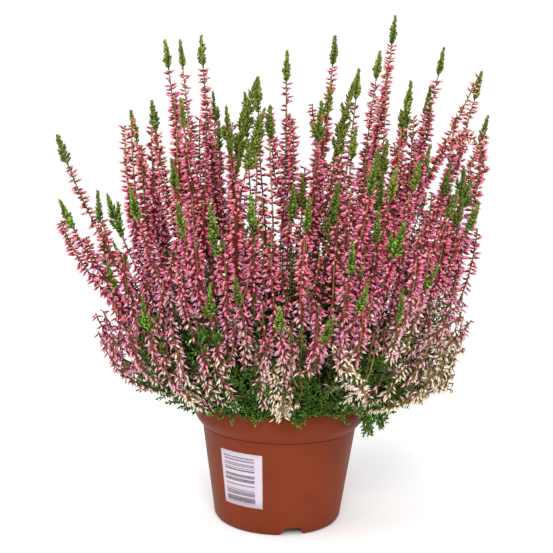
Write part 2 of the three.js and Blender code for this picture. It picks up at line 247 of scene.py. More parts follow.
# How buds change with the height they grow at: old ones at the foot of the plant are thin, pale, far apart
# and hang, and young ones high up are thick, deep pink and stand out level. The angles are in degrees, the
# shades are columns of the atlas, and the last row is the share of buds that is left.
BUD_HEIGHTS = np.array([85, 125, 165, 215, 260]) * MM
BUD_ANGLES = [-52, -40, -16, 2, 8]
BUD_LENGTHS = np.array([5.3, 5.6, 5.5, 5.5, 5.4]) * MM
BUD_WIDTHS = np.array([1.25, 1.55, 2.0, 2.0, 1.7]) * MM
BUD_SHADES = [0.8, 5.5, 10.5, 11.6, 12.4]
BUDS_LEFT = [0.3, 0.75, 0.92, 0.97, 0.97]
LOW_BUDS_LEFT = 0.8
STEEPEST_BUDS = (-72, 60)
SHORTEST_REACH = 5.5 * MM
SHOOT_BUD_SIZE = 0.92

# How many columns paler buds are low down, by their place from left to right, and how many less pale the
# salmon ones on the tall sprays at the right are
PALE_HEIGHTS = (130 * MM, 155 * MM)
PALE_PLACES = np.array([-85, -45, 45, 80]) * MM
PALE_SHADES = [-3, 0.5, 0.3, 2.8]
SALMON_HEIGHTS = (215 * MM, 250 * MM)
SALMON_PLACES = (45 * MM, 95 * MM)
SALMON_SHADE = -2
OLDEST_STRETCH = 20 * MM
OLDEST_SHADE = 4
CREAM_SHADE = 9

BRACT_EVERY = 4
BRACT_LENGTH = 2.3 * MM
BRACT_WIDTH = 1.1 * MM
BRACT_FLATNESS = 0.6

# Each spray is leafy and bears no buds below a height drawn from this range
LEAFY_BELOW = (88 * MM, 152 * MM)
CREAM_LEAFY_BELOW = 94 * MM
LEAST_FLOWERS = 44 * MM

# Inside the plant, nearer its middle than this at each height, there are no buds either
INNER_HEIGHTS = [90 * MM, 135 * MM, 200 * MM]
INNER_RADII = [56 * MM, 50 * MM, 0.0]

# The leafy pockets are taller than wide, seen from the front, and reach back to this y in millimetres
POCKET_SQUEEZE = 0.8
POCKET_DEPTH = -40

# ---- Leaves ----

# The leaves of each kind of shoot: their pitch, lengths and widths in millimetres and their lean outward in
# degrees, the last three at the shoot's foot, where it is widest and at its point
LEAF_SHARES = [0, 0.22, 1]
TIP_LEAVES = (0.95, (3.5, 4.4, 2.7), (2.0, 2.5, 1.5), (36, 45, 14))
TOP_LEAVES = (0.95, (3.4, 3.8, 3.6), (1.9, 2.1, 2.0), (38, 42, 38))
SHOOT_LEAVES = (0.95, (2.4, 3.2, 1.8), (1.3, 1.7, 1.1), (35, 42, 12))
SPRIG_LEAVES = (1.45, (2.8, 3.2, 2.3), (1.4, 1.75, 1.3), (50, 50, 24))
BUNCH_LEAVES = (1.16, (2.6, 3.0, 2.2), (1.7, 2.0, 1.6), (50, 60, 35))
INNER_LEAVES = (2.0, (4.2, 5.0, 3.8), (2.0, 2.5, 1.8), (55, 62, 40))
POCKET_LEAVES = (2.6, (3.0, 3.4, 2.6), (1.6, 1.9, 1.4), (55, 58, 30))
STEM_LEAVES = (2.6, (3.0, 3.6, 3.2), (1.6, 1.9, 1.7), (60, 62, 50))
LEAF_FLATNESS = 0.7

# Where a short shoot bends and ends, outward from its stem and along it, as shares of its length
TIP_COURSE = ((0.3, 0.35), (0.42, 0.9))
SPRIG_COURSE = ((0.5, 0.2), (0.62, 0.7))

TIP_NECK = 0.6 * MM
TIP_POINT = 1.9 * MM
TOP_SHOOT_PITCH = 2.6 * MM
SPRIG_SPACING = 17 * MM
STEM_SHARE = 0.97
BARE_END = 1 * MM

# ---- Shoots and twigs ----

# Side shoots of a spray: how many it has where it is one of the CAD model's and where it is extra, the
# stretch of the flowers they leave from, as shares, and their shortest and longest
HIGH_SHOOTS = ((2, 1), (0.1, 0.6), (26 * MM, 46 * MM))
LOW_SHOOTS = ((4, 2), (0.0, 1.0), (14 * MM, 24 * MM))
LOW_SPRAY = 120 * MM
GREEN_EXTRAS = 0.25
GREEN_SHOOTS = 0.1

# Radius of a spray's stem at its foot, at the first flowers and at its end
STEM_RADII = [1.0 * MM, 0.6 * MM, 0.45 * MM]
YOUNG_STRETCH = 45 * MM
FORK_COUNT = 9

# How many leafy twigs each branch has round its foot, inside the plant, and in a pocket
LOW_SPRIGS = 26
INNER_TWIGS = 14
POCKET_TWIGS = 3
TWIG_RADII = (0.6 * MM, 0.3 * MM)

# The twigs inside the plant, whose dark greens are painted shade, reach further to its left and right than to
# its front and back
INNER_SPREAD = np.array([1.35, 0.8, 1.0])

# ---- The atlas that buds, leaves and stems take their colours from, and the columns of each ----

UV_MAP = "OFBake"
CELLS = 16
CELL_MARGIN = 0.06
# The darkest greens, painted shade for the twigs inside the plant
INNER_SHADE_GREENS = (0, 1)
STEM_GREENS = POCKET_GREENS = (0, 2)
SPRIG_GREENS = (0, 3)
LOW_GREENS = [(0, 2), (2, 3)]
GREENS = (1, 3)
HANGING_GREENS = (2, 3)
TIP_GREENS = (4, 7)
OLIVE_GREENS, YELLOW_GREENS = (4, 6), (5, 7)
FRESH_GREENS = (3, 6)
FRESH_TIP = 205 * MM
BRACTS = (8, 11)
GREEN_BARK = 12
YOUNG_BARK = (12, 13)
PALE_BARK = (13, 14)
PALE_BARK_ABOVE = 235 * MM
OLD_BARK = (12, 15)
WOOD = 15


def lerp(low, high, share):
    return low + (high - low) * share


def unit(vectors):
    return vectors / np.linalg.norm(vectors, axis=-1, keepdims=True)


def polar(radius, degrees, z):
    angle = math.radians(degrees)
    return np.array([radius * math.cos(angle), radius * math.sin(angle), z])


def above_soil(root, height):
    return np.array([root[0], root[1], SOIL_LEVEL + height])


def outward(turn, side, across):
    """Directions away from a path at these angles round it."""
    turn = np.asarray(turn)[..., None]
    return np.cos(turn) * side + np.sin(turn) * across


def draws(*key):
    """A seeded source of random numbers for one part of the plant."""
    return np.random.default_rng([2024, *key])


def columns(span, count, rng):
    """A column of the atlas for each of so many leaves, from the first to the last of a span."""
    return rng.integers(span[0], span[1] + 1, count)


# ---- Small forms, and heaps of their copies ----


def skin(sides, rises, caps):
    """Triangles from a first point over rings of corners to a last point, and their places on the atlas.
    Rises are the rings' places from base to tip, and caps those at the two ends: point, ring, ring, point."""
    faces, places = [], []
    last = 1 + len(rises) * sides
    top = last - sides
    for i in range(sides):
        j = (i + 1) % sides
        here, there = i / sides, (i + 1) / sides
        middle = (here + there) / 2
        for ring, (v, w) in enumerate(zip(rises, rises[1:])):
            low, high = 1 + ring * sides, 1 + (ring + 1) * sides
            faces += [[low + i, low + j, high + j], [low + i, high + j, high + i]]
            places += [[[here, v], [there, v], [there, w]], [[here, v], [there, w], [here, w]]]
        faces += [[0, 1 + j, 1 + i], [top + i, top + j, last]]
        places.append([[middle, caps[0]], [there, caps[1]], [here, caps[1]]])
        places.append([[here, caps[2]], [there, caps[2]], [middle, caps[3]]])
    return np.array(faces), np.array(places, float)


class Spindle:
    """A closed form round its own Z, pointed at 0 and 1, through rings given as (place, radius)."""

    def __init__(self, sides, rings):
        turns = np.arange(sides) / sides * 2 * np.pi
        corners = [
            [math.cos(turn) * radius / 2, math.sin(turn) * radius / 2, place]
            for place, radius in rings for turn in turns
        ]
        self.points = np.array([[0, 0, 0], *corners, [0, 0, 1]])
        rises = [place for place, _ in rings]
        self.faces, self.places = skin(sides, rises, (0, rises[0], rises[-1], 1))


BUD = Spindle(4, [(0.2, 0.66), (0.58, 1.0)])
LEAF = Spindle(4, [(0.35, 0.8), (0.78, 1.0)])
SMALL_LEAF = Spindle(3, [(0.45, 1.0)])


class Heap:
    """The triangles of one piece, with their places on the atlas."""

    def __init__(self):
        self.points, self.faces, self.places, self.count = [], [], [], 0

    def add(self, points, faces, places):
        self.points.append(points)
        self.faces.append(faces + self.count)
        self.places.append(places)
        self.count += len(points)

    def copies(self, form, origins, along, across, lengths, widths, cells, flatness=1.0):
        """Copies of a form, one at each origin, each pointing along and turned to its across."""
        size = np.stack([widths, widths * flatness, lengths], 1)
        local = form.points[None] * size[:, None]
        axes = np.stack([across, np.cross(along, across), along], 1)
        placed = origins[:, None] + local @ axes
        step = len(form.points) * np.arange(len(origins))
        faces = form.faces[None] + step[:, None, None]
        self.add(placed.reshape(-1, 3), faces.reshape(-1, 3), on_atlas(form.places, cells).reshape(-1, 3, 2))

    def tube(self, path, along, radii, sides, cell):
        """A closed round stem on a path, through these distances. Its rings lie in turn near the base and
        near the tip of the atlas column."""
        centres, _, side, across = path.frame(along)
        turns = np.arange(sides) / sides * 2 * np.pi
        spokes = outward(turns[None], side[:, None], across[:, None])
        rings = centres[:, None] + spokes * np.broadcast_to(radii, len(along))[:, None, None]
        points = np.concatenate([centres[:1], rings.reshape(-1, 3), centres[-1:]])
        rises = [0.95 if level % 2 else 0.05 for level in range(len(along))]
        faces, places = skin(sides, rises, (0, 0.2, 0.8, 1))
        self.add(points, faces, on_atlas(places, np.array([cell]))[0])

    def taper(self, path, radii, levels, start=0.0, end=None, sides=3, cell=GREEN_BARK):
        """A stem that narrows evenly between two radii, by default over nearly all of its path."""
        end = path.length * STEM_SHARE if end is None else end
        self.tube(path, np.linspace(start, end, levels), np.linspace(*radii, levels), sides, cell)

    def piece(self, name, material, slot, *nodes):
        """The heap as one smooth mesh that rides on the body and stands for these CAD nodes."""
        points, faces, places = (np.concatenate(kind) for kind in (self.points, self.faces, self.places))
        mesh = bpy.data.meshes.new(name)
        mesh.vertices.add(len(points))
        mesh.vertices.foreach_set("co", points.astype(np.float32).ravel())
        mesh.loops.add(faces.size)
        mesh.loops.foreach_set("vertex_index", faces.astype(np.int32).ravel())
        mesh.polygons.add(len(faces))
        mesh.polygons.foreach_set("loop_start", np.arange(0, faces.size, 3, dtype=np.int32))
        mesh.uv_layers.new(name=UV_MAP).uv.foreach_set("vector", places.astype(np.float32).ravel())
        mesh.update(calc_edges=True)
        dressed(name, mesh, material, slot, *nodes)


def on_atlas(places, cells):
    """Places on one form, moved into a column of the atlas for each copy."""
    spread = lerp(CELL_MARGIN, 1 - CELL_MARGIN, places[..., 0])
    u = (cells[:, None, None] + spread[None]) / CELLS
    v = np.broadcast_to(lerp(0.01, 0.99, places[..., 1]), u.shape)
    return np.stack([u, v], -1)


def smooth(mesh):
    mesh.polygons.foreach_set("use_smooth", np.ones(len(mesh.polygons), bool))


def in_scene(name, data):
    """A new object, linked to the scene."""
    made = bpy.data.objects.new(name, data)
    bpy.context.scene.collection.objects.link(made)
    return made


def dressed(name, mesh, material, slot, *nodes):
    """A mesh as a smooth piece of one material that rides on the body and stands for these CAD nodes."""
    piece = in_scene(name, mesh)
    smooth(mesh)
    mesh.materials.append(material)
    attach(piece, BODY)
    if nodes:
        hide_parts(*nodes)
    return piece


# ---- Paths ----


class Path:
    """A quadratic Bezier curve by distance, with a slight wave to its side, which is level."""

    STEPS = 60

    def __init__(self, start, bend, end, wave=0.0, phase=0.0):
        t = np.linspace(0, 1, self.STEPS + 1)[:, None]
        points = (1 - t) ** 2 * start + 2 * t * (1 - t) * bend + t**2 * end
        self.side = unit(np.cross(UP, end - start))
        points = points + self.side * wave * np.sin(t * np.pi) * np.sin(t * 9 + phase)
        steps = np.linalg.norm(np.diff(points, axis=0), axis=1)
        self.points = points
        self.distance = np.concatenate([[0.0], np.cumsum(steps)])
        self.tangents = unit(np.gradient(points, axis=0))
        self.length = self.distance[-1]

    def frame(self, along):
        """Centre, forward, side and across at these distances."""
        centre, forward = (
            np.stack([np.interp(along, self.distance, values[:, i]) for i in range(3)], 1)
            for values in (self.points, self.tangents)
        )
        forward = unit(forward)
        across = unit(np.cross(forward, np.broadcast_to(self.side, forward.shape)))
        return centre, forward, np.cross(across, forward), across


def spray_path(fork, tip, phase):
    bend = lerp(fork, tip, BEND_REACH)
    bend[2] = SOIL_LEVEL + max(BEND_RISE * (tip[2] - SOIL_LEVEL), LEAST_RISE)
    return Path(fork, bend, tip, 1.2 * MM, phase)


def extra_path(fork, tip, phase, reach=0.95, rise=0.14, aside=0):
    """A spray that by default runs out low over the rim and then rises nearly upright to its tip."""
    bend = lerp(fork, tip, reach)
    bend[0] += aside * MM
    bend[2] = SOIL_LEVEL + 10 * MM + rise * (tip[2] - SOIL_LEVEL)
    return Path(fork, bend, tip, 2.2 * MM, phase)


def offshoot(centre, out, forward, length, bend, point, wave=0.0, phase=0.0):
    """A short path off a stem, with its bend and point outward and forward as shares of the length."""
    near, far = (centre + (out * aside + forward * ahead) * length for aside, ahead in (bend, point))
    return Path(centre, near, far, wave, phase)


def pairs_along(start, end, pitch, least):
    """Opposite pairs, each a quarter turn from the last: their share of the way, and their half turns."""
    pairs = max(int((end - start) / pitch), least)
    share = np.repeat((np.arange(pairs) + 0.5) / pairs, 2)
    return share, np.repeat(np.arange(pairs) * 0.5, 2) + np.tile([0.0, 1.0], pairs)


def all_round(path, start, end, count, rng):
    """Centre, forward, outward and share of the way for shoots that leave a stem to all sides."""
    share = (np.arange(count) + rng.uniform(0.2, 0.8, count)) / max(count, 1)
    centre, forward, side, across = path.frame(lerp(start, end, share))
    for i in range(count):
        turn = i * 2.4 + rng.uniform(-0.4, 0.4)
        yield centre[i], forward[i], outward(turn, side[i], across[i]), share[i]


# ---- Green shoots ----


def leaf_pairs(heap, path, start, end, leaves, greens, rng, form=SMALL_LEAF, stout=1.0):
    """Leaves of one kind in opposite pairs, longer by the factor stout where the shoot is widest."""
    pitch, lengths, widths, leans = leaves
    share, turn = pairs_along(start, end, pitch * MM, 2)
    count = len(share)
    turn = np.pi * (turn + rng.normal(0, 0.05, count)) + share * 0.6
    centre, forward, side, across = path.frame(lerp(start, end, share))
    out = outward(turn, side, across)
    tilt = np.radians(np.interp(share, LEAF_SHARES, leans) + rng.normal(0, 5, count))
    size = rng.uniform(0.78, 1.18, count) * MM
    lengths = np.interp(share, LEAF_SHARES, np.multiply(lengths, (1, stout, 1))) * size
    widths = np.interp(share, LEAF_SHARES, widths) * size
    cells = columns(greens, count, rng)
    along = outward(tilt, forward, out)
    heap.copies(form, centre, along, np.cross(forward, out), lengths, widths, cells, LEAF_FLATNESS)


def green_tip(heap, path, start, end, greens, rng, form=SMALL_LEAF):
    """A scaly pointed shoot: a narrow neck, thick spread scales above it, and smaller ones to the point."""
    heap.taper(path, (0.55 * MM, 0.3 * MM), 4, start, end - BARE_END)
    stout = rng.uniform(0.85, 1.15)
    leaf_pairs(heap, path, start + TIP_NECK, end - TIP_POINT, TIP_LEAVES, greens, rng, form, stout)


def side_tip(heap, centre, forward, out, length, greens, rng):
    """A short green shoot that leaves a stem and soon rises beside it."""
    path = offshoot(centre, out, forward, length, *TIP_COURSE)
    green_tip(heap, path, 0, length * STEM_SHARE, greens, rng)


def companions(heap, path, start, greens, rng):
    """Up to two shorter green tips beside the one that starts here."""
    count = rng.integers(0, 3)
    centre, forward, side, across = path.frame(start + rng.uniform(-3, 3, count) * MM)
    first = rng.uniform(0, 6)
    for i in range(count):
        out = outward(first + 2.8 * i, side[i], across[i])
        side_tip(heap, centre[i], forward[i], out, rng.uniform(7, 13) * MM, greens, rng)


def leafy_top(heap, path, start, end, greens, rng):
    """The leafy stretch under a green tip, with short leafy shoots all along it, the longest at its foot."""
    leaf_pairs(heap, path, start, end, TOP_LEAVES, greens, rng)
    count = int((end - start) / TOP_SHOOT_PITCH)
    for centre, forward, out, share in all_round(path, start, end, count, rng):
        length = lerp(12, 8, share) * MM * rng.uniform(0.8, 1.1)
        side_tip(heap, centre, forward, out, length, greens, rng)


def sprig(heap, path, greens, rng):
    """A thin leafy shoot of the green foliage."""
    heap.taper(path, (0.42 * MM, 0.2 * MM), 3)
    leaf_pairs(heap, path, path.length * 0.08, path.length, SPRIG_LEAVES, greens, rng)


def side_sprigs(heap, path, start, end, count, reach, greens, rng):
    """Sprigs that leave a twig to all sides."""
    for centre, forward, out, _ in all_round(path, start, end, count, rng):
        length = reach * rng.uniform(0.7, 1.1)
        sprig(heap, offshoot(centre, out, forward, length, *SPRIG_COURSE), greens, rng)


# ---- Flowering sprays ----


def in_pocket(places):
    """Whether each place lies in a leafy pocket, as seen from the front."""
    x, y, height = places.T / MM
    inside = np.zeros(len(places), bool)
    for pockets in POCKETS.values():
        for middle, _, level, radius in pockets:
            inside |= np.hypot(x - middle, (height - level) * POCKET_SQUEEZE) < radius
    return inside & (y < POCKET_DEPTH)


def bud_shade(places, share, leafy_below, faded, rng):
    """Column of the atlas for buds: cream low down, most of all on the right, deep pink high up, and
    salmon on the tall sprays at the right. The lowest buds of a spray are the oldest, and paler."""
    x, _, height = places.T
    by_height = np.interp(height, BUD_HEIGHTS, BUD_SHADES)
    bleached = np.interp(x, PALE_PLACES, PALE_SHADES) * np.interp(height, PALE_HEIGHTS, [1, 0])
    bleached += np.interp(x, SALMON_PLACES, [0, SALMON_SHADE]) * np.interp(height, SALMON_HEIGHTS, [0, 1])
    oldest = np.clip(1 - (height - leafy_below) / OLDEST_STRETCH, 0, 1) * OLDEST_SHADE
    shade = by_height - bleached - oldest - faded + lerp(-0.8, 0.8, share)
    shade += rng.normal(0, 1.2) + rng.normal(0, 1.8, len(share))
    return np.clip(np.round(shade), 0, CELLS - 1).astype(int)


def spray_flowers(flowers, leaves, path, start, end, pitch, rng, scale=1.0, low=False, leafy_below=0.0,
                  faded=0):
    """Buds in opposite pairs, of which some are missing, and a bract at every fourth place."""
    share, turn = pairs_along(start, end, pitch, LEAST_BUD_PAIRS)
    count = len(share)
    turn = np.pi * turn + share * 2.2 + rng.normal(0, 0.4, count)
    centre, forward, side, across = path.frame(lerp(start, end, share) + rng.normal(0, 0.3 * MM, count))
    out = outward(turn, side, across)
    height = centre[:, 2]
    left = LOW_BUDS_LEFT if low else np.interp(height, BUD_HEIGHTS, BUDS_LEFT)
    kept = (rng.uniform(size=count) < left * (1 - 0.25 * share**4)) & (height > leafy_below)
    kept &= np.hypot(centre[:, 0], centre[:, 1]) > np.interp(height, INNER_HEIGHTS, INNER_RADII)
    kept &= ~in_pocket(centre)
    tilt = np.interp(height, BUD_HEIGHTS, BUD_ANGLES) + 12 * share**2 + rng.normal(0, 15, count)
    tilt = np.radians(np.clip(tilt, *STEEPEST_BUDS))
    along = unit(outward(tilt, out, unit(forward * 0.45 + UP)))
    reach = lerp(REACH_AT_BOTTOM, REACH_AT_TOP, share) + REACH_SWELL * np.sin(np.pi * share)
    reach = np.maximum(FLOWER_REACH * reach, SHORTEST_REACH) * (1 - 0.22 * share**6)
    lengths = np.minimum(np.interp(height, BUD_HEIGHTS, BUD_LENGTHS), reach / np.cos(tilt))
    lengths = lengths * scale * rng.uniform(0.84, 1.06, count)
    widths = np.interp(height, BUD_HEIGHTS, BUD_WIDTHS) * (1 - 0.2 * share**3)
    widths = widths * rng.uniform(0.82, 1.1, count)
    facing = unit(np.cross(forward, along))
    shades = bud_shade(centre, share, leafy_below, faded, rng)
    flowers.copies(BUD, *(each[kept] for each in (centre, along, facing, lengths, widths, shades)))

    bracts = np.arange(0, count, BRACT_EVERY)
    bracts = bracts[height[bracts] > leafy_below]
    lengths = BRACT_LENGTH * rng.uniform(0.8, 1.25, count)
    widths = np.full(count, BRACT_WIDTH)
    cells = columns(BRACTS, count, rng)
    along = unit(along - forward * 0.35)
    some = (each[bracts] for each in (centre, along, facing, lengths, widths, cells))
    leaves.copies(SMALL_LEAF, *some, BRACT_FLATNESS)


def side_shoots(flowers, leaves, path, start, end, count, span, rng):
    """Flowering shoots, which leave a spray to its left and right and rise beside it, some to a green tip."""
    share = (np.arange(count) + rng.uniform(0.1, 0.9, count)) / count
    centre, _, side, across = path.frame(lerp(start, end, share))
    first = rng.integers(0, 2)
    for i in range(count):
        turn = np.pi * (i + first) + rng.uniform(-0.7, 0.7)
        out = outward(turn, side[i], across[i])
        length = rng.uniform(*span)
        point = (rng.uniform(0.28, 0.42), 0.92)
        shoot = offshoot(centre[i], out, UP, length, (0.3, 0.25), point, 0.6 * MM, turn)
        green = rng.uniform(5, 9) * MM if rng.uniform() < GREEN_SHOOTS else BARE_END
        bark = rng.choice(YOUNG_BARK)
        leaves.taper(shoot, (0.6 * MM, 0.45 * MM), 6, end=shoot.length - BARE_END, cell=bark)
        foot = shoot.length - green
        spray_flowers(flowers, leaves, shoot, 2 * MM, foot, EXTRA_BUD_PITCH, rng, SHOOT_BUD_SIZE)
        if green > BARE_END:
            leaf_pairs(leaves, shoot, foot, shoot.length - 1.5 * MM, SHOOT_LEAVES, TIP_GREENS, rng)


def spray_stem(leaves, path, start, end, stem_end, young, rng):
    """The stem of a spray in two parts, with old bark and then young."""
    woody_end = max(lerp(start, end, 0.45), stem_end - YOUNG_STRETCH)
    for low, high, bark in ((0, woody_end, OLD_BARK), (woody_end, stem_end, young)):
        levels = np.linspace(low, high, 9)
        radii = np.interp(levels, [0, start, stem_end], STEM_RADII)
        leaves.tube(path, levels, radii, 4, rng.choice(bark))


def spray_foliage(leaves, path, start, leafy_below, ends_low, rng):
    """Leaves and sprigs on the lower part of a spray's stem, up to its buds."""
    leafy_end = max(start * 1.2, float(np.interp(leafy_below, path.points[:, 2], path.distance)))
    if ends_low:
        leafy_end = path.length * 0.85
    leafy_end = max(leafy_end, np.max(path.distance * in_pocket(path.points)))
    count, reach = int(leafy_end / SPRIG_SPACING), (8 if ends_low else 13) * MM
    side_sprigs(leaves, path, start * 0.2, leafy_end, count, reach, SPRIG_GREENS, rng)
    leaf_pairs(leaves, path, start * 0.25, leafy_end, STEM_LEAVES, STEM_GREENS, rng)


# ---- Branches ----


def woody_stem(heap, root, rng):
    """The upright stem in the soil. It leans by next to nothing, which gives its path a side."""
    low, high = above_soil(root, -STEM_DEPTH), above_soil(root, STEM_ABOVE_SOIL)
    high[0] += 0.01 * MM
    path = Path(low, (low + high) / 2, high)
    along = np.linspace(0, path.length, 12)
    heap.tube(path, along, STEM_RADIUS * rng.uniform(0.88, 1.0, len(along)), 9, WOOD)


def fork_point(root, order):
    return above_soil(root, STEM_ABOVE_SOIL - (order + 1) * FORK_STEP)


def low_sprigs(leaves, root, rng):
    """Leafy shoots round the foot of a branch, which hide the soil and reach over the rim."""
    for i in range(LOW_SPRIGS):
        heading = 360 * (i + rng.uniform(0, 0.8)) / LOW_SPRIGS
        start = above_soil(root, rng.uniform(1, 7) * MM)
        end = start + polar(rng.uniform(10, 38) * MM, heading, 0)
        end *= min(1.0, (RIM_RADIUS + rng.uniform(2, 9) * MM) / math.hypot(end[0], end[1]))
        end[2] = SOIL_LEVEL + rng.uniform(14, 40) * MM
        bend = lerp(start, end, 0.5) + UP * rng.uniform(1, 6) * MM
        sprig(leaves, Path(start, bend, end), rng.choice(LOW_GREENS), rng)


def rising_twig(leaves, foot, end, reach, rise, wave, phase):
    """A twig that runs out low and then rises, with nothing on it yet. It gives back its path."""
    bend = lerp(foot, end, reach)
    bend[2] = SOIL_LEVEL + rise
    path = Path(foot, bend, end, wave, phase)
    leaves.taper(path, TWIG_RADII, 6)
    return path


def inner_twigs(leaves, foot, rng):
    """Leafy twigs that stand inside the plant, between its flowers, in dark greens that are painted shade."""
    for i in range(INNER_TWIGS):
        heading = 360 * (i + rng.uniform(0, 0.8)) / INNER_TWIGS
        end = foot + polar(rng.uniform(12, 55) * MM, heading, rng.uniform(40, 112) * MM) * INNER_SPREAD
        path = rising_twig(leaves, foot, end, 0.8, 18 * MM, 1.5 * MM, heading)
        leaf_pairs(leaves, path, path.length * 0.15, path.length, INNER_LEAVES, INNER_SHADE_GREENS, rng)


def pocket_twigs(leaves, foot, pockets, rng):
    """Leafy twigs that rise in the leafy pockets."""
    for x, y, height, radius in pockets:
        for i in range(POCKET_TWIGS):
            end = np.array([x + (i - 1) * radius * 0.7, y, height]) * MM
            end += rng.uniform([0, -6, 0], [0, 6, radius]) * MM
            path = rising_twig(leaves, foot, end, 0.9, 12 * MM, 1.0 * MM, i)
            low, middle, high = path.length * 0.3, path.length * 0.55, path.length * STEM_SHARE
            leaf_pairs(leaves, path, low, path.length, POCKET_LEAVES, POCKET_GREENS, rng)
            side_sprigs(leaves, path, middle, high, 8, 11 * MM, POCKET_GREENS, rng)


def make_branch(order, name, own_tips, sprays, extra_sprays, bud_material, leaf_material):
    rng = draws(order)
    flowers, leaves = Heap(), Heap()
    root = (np.array(sprays) * MM).mean(0) * ROOT_SHARE
    tops, spacings = LEAFY_TOPS.get(name, {}), SPACING.get(name, {})
    woody_stem(leaves, root, rng)
    for i, (x, y, z, *course) in enumerate(sprays + extra_sprays):
        is_own, is_extra = i < own_tips, i >= len(sprays)
        tip = np.array([x, y, z]) * MM
        ends_low, ends_green = tip[2] < LOW_SPRAY, tip[2] > GREEN_ABOVE
        make_path = extra_path if is_extra else spray_path
        path = make_path(fork_point(root, i % FORK_COUNT), tip, rng.uniform(0, 6), *course)
        leafy = max(tops.get(i, 0) * MM, TIP_LENGTH)
        end = path.length - (leafy if ends_green else 0)
        start = end - min(FLOWER_LENGTH, FLOWERING_SHARE * end)
        ends_in_buds = leafy <= TIP_LENGTH if i in tops else rng.uniform() > GREEN_EXTRAS
        if is_extra and ends_in_buds:
            end, ends_green = path.length - BARE_END, False
        stem_end = path.length - (TIP_LENGTH if is_own else BARE_END)
        young = PALE_BARK if tip[2] > PALE_BARK_ABOVE else YOUNG_BARK
        spray_stem(leaves, path, start, end, stem_end, young, rng)

        pitch = LOW_BUD_PITCH if ends_low else EXTRA_BUD_PITCH if is_extra else BUD_PITCH
        pitch *= spacings.get(i, 1)
        leafy_below = 0.0 if ends_low else min(rng.uniform(*LEAFY_BELOW), tip[2] - LEAST_FLOWERS)
        faded = 0
        if i in CREAM.get(name, ()):
            leafy_below, faded = CREAM_LEAFY_BELOW, CREAM_SHADE
        spray_flowers(
            flowers, leaves, path, start, end, pitch, rng, low=ends_low, leafy_below=leafy_below, faded=faded
        )
        if i not in spacings:
            counts, stretch, span = LOW_SHOOTS if ends_low else HIGH_SHOOTS
            low, high = (lerp(start, end, share) for share in stretch)
            side_shoots(flowers, leaves, path, low, high, counts[is_extra], span, rng)
        spray_foliage(leaves, path, start, leafy_below, ends_low, rng)
        if not ends_green:
            continue

        greens = OLIVE_GREENS if rng.uniform() < 0.5 else YELLOW_GREENS
        if tip[2] < FRESH_TIP:
            greens = FRESH_GREENS
        foot = path.length - TIP_LENGTH
        if leafy > TIP_LENGTH or not is_own:
            companions(leaves, path, foot, greens, rng)
        if leafy > TIP_LENGTH:
            leafy_top(leaves, path, end, foot - CLEARANCE, greens, rng)
        if is_own:
            heap = Heap()
            green_tip(heap, path, foot + CLEARANCE, path.length, greens, rng, LEAF)
            node = f"green_tip_{name}_{i + 1}"
            heap.piece(f"leafy_tip_{name}_{i + 1}", leaf_material, "green_tip", node)
        else:
            green_tip(leaves, path, foot, path.length, greens, rng)
    low_sprigs(leaves, root, rng)
    foot = above_soil(root, 4 * MM)
    inner_twigs(leaves, foot, rng)
    pocket_twigs(leaves, foot, POCKETS.get(name, []), rng)
    node = f"branch_{name}"
    flowers.piece(f"buds_{name}", bud_material, "flower", node)
    leaves.piece(f"stems_{name}", leaf_material, "foliage", node)


# ---- Leafy bunches ----

# Foot and top of the sprigs on a twig as shares, their reach and number, and their greens
BUNCH_SPRIGS = (0.12, 0.98, 8 * MM, 26, GREENS)
HANGING_SPRIGS = (0.3, 0.94, 5.2 * MM, 40, HANGING_GREENS)


def make_bunch(index, leaf_material):
    rng = draws(50 + index)
    heap = Heap()
    heading = BUNCH_FIRST_ANGLE + index * 360 / BUNCH_COUNT
    root = polar(BUNCH_ROOT_RADIUS, heading, SOIL_LEVEL)
    hangs = index == HANGING_BUNCH
    bend_radius, bend_height = HANGING_BEND if hangs else BUNCH_BEND
    end_radius, end_height = HANGING_END if hangs else BUNCH_END
    foot, top, reach, count, greens = HANGING_SPRIGS if hangs else BUNCH_SPRIGS
    woody_stem(heap, root, rng)
    for i in range(BUNCH_TWIGS):
        turn = (i - (BUNCH_TWIGS - 1) / 2) * (HANGING_CLOSER if hangs else 1)
        stagger = (i % 2) * BUNCH_STAGGER
        bend = polar(bend_radius, heading + turn * BEND_FAN, bend_height)
        tip = polar(end_radius - stagger, heading + turn * BUNCH_FAN, end_height + stagger)
        path = Path(fork_point(root, i), bend, tip)
        heap.taper(path, (0.9 * MM, 0.35 * MM), 12, sides=4)
        leaf_pairs(heap, path, path.length * 0.2, path.length, BUNCH_LEAVES, GREENS, rng)
        side_sprigs(heap, path, path.length * foot, path.length * top, count, reach, greens, rng)
    heap.piece(f"leaves_bunch_{index + 1}", leaf_material, "foliage", f"leafy_bunch_{index + 1}")


# ---- Pot ----

POT_SEGMENTS = 180
SHARP_ANGLE = 38
UNDERSIDE_CHAMFER = 0.5 * MM
RING_CHAMFER = 0.3 * MM
FLOOR_CHAMFER = 0.8 * MM
GROOVE_DEPTH = 0.35 * MM
DRAIN_SEGMENTS = 24
DRAIN_LENGTH = SOIL_LEVEL / 4


def outer_radius(z):
    wall = lerp(WALL_FOOT_RADIUS, WALL_TOP_RADIUS, min(z / BAND_FOOT, 1))
    swell = min(max((z - BAND_FOOT) / BAND_ROUND, 0), 1)
    return wall + (RIM_RADIUS - WALL_TOP_RADIUS) * math.sin(swell * math.pi / 2)


def inner_radius(z):
    return outer_radius(z) - WALL_THICKNESS


